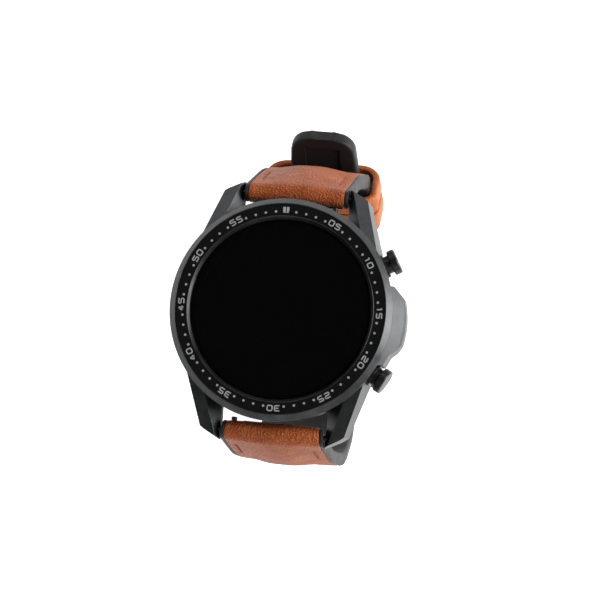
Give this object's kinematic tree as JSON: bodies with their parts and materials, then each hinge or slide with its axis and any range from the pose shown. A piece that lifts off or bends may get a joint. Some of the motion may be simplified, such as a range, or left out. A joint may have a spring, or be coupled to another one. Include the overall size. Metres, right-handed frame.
{
  "type": "smartwatch",
  "caption": "Round smartwatch with a dark metal case, numbered bezel, side pushers and a tan leather strap with rubber lining, closed in its pin buckle.",
  "frame": {"origin": "centre of the sensor window's flat face, which lies on the wrist", "axes": "+Z out of the dial, +Y to twelve o'clock, +X to three o'clock, the pushers' side"},
  "size_m": [0.049, 0.0728, 0.0703],
  "materials": {
    "case_metal": "dark gunmetal, fine brushed",
    "bezel_metal": "dark gunmetal, polished edges",
    "insert_black": "matte black with pale grey print",
    "cover_glass": "clear glass over a dark display",
    "display": "black display, off",
    "gasket": "black rubber",
    "strap_leather": "tan leather, fine pebble grain, black edge paint",
    "strap_lining": "black rubber lining",
    "keeper_leather": "lighter tan leather",
    "pusher_metal": "dark gunmetal",
    "pusher_collar": "black",
    "buckle_metal": "dark gunmetal",
    "dark_steel": "dark steel",
    "spring_steel": "spring steel",
    "rear_plastic": "gloss black",
    "sensor_glass": "dark glass",
    "lamp": "clear lamp bodies",
    "board": "green circuit board",
    "shield": "tinned sheet",
    "battery_wrap": "dark foil wrap",
    "frame_plastic": "black moulded plastic",
    "motor_steel": "drawn steel",
    "tungsten": "sintered weight",
    "contact_gold": "gold plated"
  },
  "bodies": {
    "case": {"mid_case": "case_metal", "bezel_ring": "bezel_metal", "bezel_insert": "insert_black", "cover_glass": "cover_glass", "glass_gasket": "gasket", "display_panel": "display", "inner_frame": "frame_plastic", "main_board": "board", "board_shields": "shield", "battery": "battery_wrap", "haptic_can": "motor_steel", "speaker_module": "frame_plastic", "rear_cover": "rear_plastic", "rear_gasket": "gasket", "case_screws": "dark_steel", "sensor_window": "sensor_glass", "sensor_board": "board", "sensor_leds": "lamp", "charging_contacts": "contact_gold", "pusher_switches": "frame_plastic", "upper_pusher_collar": "pusher_collar", "lower_pusher_collar": "pusher_collar", "upper_pusher_spring": "spring_steel", "lower_pusher_spring": "spring_steel"},
    "motor_rotor": {"haptic_rotor": "tungsten"},
    "top_button": {"upper_pusher": "pusher_metal", "upper_pusher_seal": "gasket", "upper_pusher_clip": "spring_steel"},
    "bottom_button": {"lower_pusher": "pusher_metal", "lower_pusher_seal": "gasket", "lower_pusher_clip": "spring_steel"},
    "buckle_half": {"buckle_strap_leather": "strap_leather", "buckle_strap_lining": "strap_lining", "upper_spring_bar": "dark_steel", "upper_bar_spring": "spring_steel", "buckle_bar": "dark_steel", "fixed_keeper": "keeper_leather"},
    "long_half": {"long_strap_leather": "strap_leather", "long_strap_lining": "strap_lining", "lower_spring_bar": "dark_steel", "lower_bar_spring": "spring_steel"},
    "top_lever": {"upper_release_lever": "dark_steel"},
    "bottom_lever": {"lower_release_lever": "dark_steel"},
    "sliding_keeper": {"free_keeper": "keeper_leather"},
    "buckle": {"buckle_frame": "buckle_metal"},
    "tongue": {"buckle_tongue": "buckle_metal"}
  },
  "joints": [
    {"name": "buckle_half_hinge", "type": "hinge", "parent": "case", "child": "buckle_half", "pos_m": [0, 0.025, 0.0034], "axis": [1, 0, 0], "range_deg": [0, 70], "deforming": ["buckle_strap_leather", "buckle_strap_lining"]},
    {"name": "long_half_hinge", "type": "hinge", "parent": "case", "child": "long_half", "pos_m": [0, -0.025, 0.0034], "axis": [-1, 0, 0], "range_deg": [0, 80], "deforming": ["long_strap_leather", "long_strap_lining"]},
    {"name": "top_button_press", "type": "slide", "parent": "case", "child": "top_button", "axis": [-0.8704, -0.4924, 0], "range_m": [0, 0.0005], "stiffness_N_per_m": 400, "springref_m": -0.0005, "deforming": ["upper_pusher_spring"]},
    {"name": "bottom_button_press", "type": "slide", "parent": "case", "child": "bottom_button", "axis": [-0.8704, 0.4924, 0], "range_m": [0, 0.0005], "stiffness_N_per_m": 400, "springref_m": -0.0005, "deforming": ["lower_pusher_spring"]},
    {"name": "top_lever_slide", "type": "slide", "parent": "buckle_half", "child": "top_lever", "axis": [-1, 0, 0], "range_m": [0, 0.0013], "stiffness_N_per_m": 300, "springref_m": -0.0008, "deforming": ["upper_bar_spring"]},
    {"name": "bottom_lever_slide", "type": "slide", "parent": "long_half", "child": "bottom_lever", "axis": [1, 0, 0], "range_m": [0, 0.0013], "stiffness_N_per_m": 300, "springref_m": -0.0008, "deforming": ["lower_bar_spring"]},
    {"name": "keeper_slide", "type": "slide", "parent": "buckle_half", "child": "sliding_keeper", "axis": [0, 0.5593, 0.829], "range_m": [0, 0.002]},
    {"name": "buckle_hinge", "type": "hinge", "parent": "buckle_half", "child": "buckle", "pos_m": [0, 0.0055, -0.0533], "axis": [1, 0, 0], "range_deg": [0, 20]},
    {"name": "tongue_hinge", "type": "hinge", "parent": "buckle", "child": "tongue", "pos_m": [0, 0.0055, -0.0533], "axis": [1, 0, 0], "range_deg": [0, 20]},
    {"name": "motor_spin", "type": "hinge", "parent": "case", "child": "motor_rotor", "pos_m": [-0.0136, 0.0045, 0.0049], "axis": [0, 0, 1], "continuous": true}
  ]
}
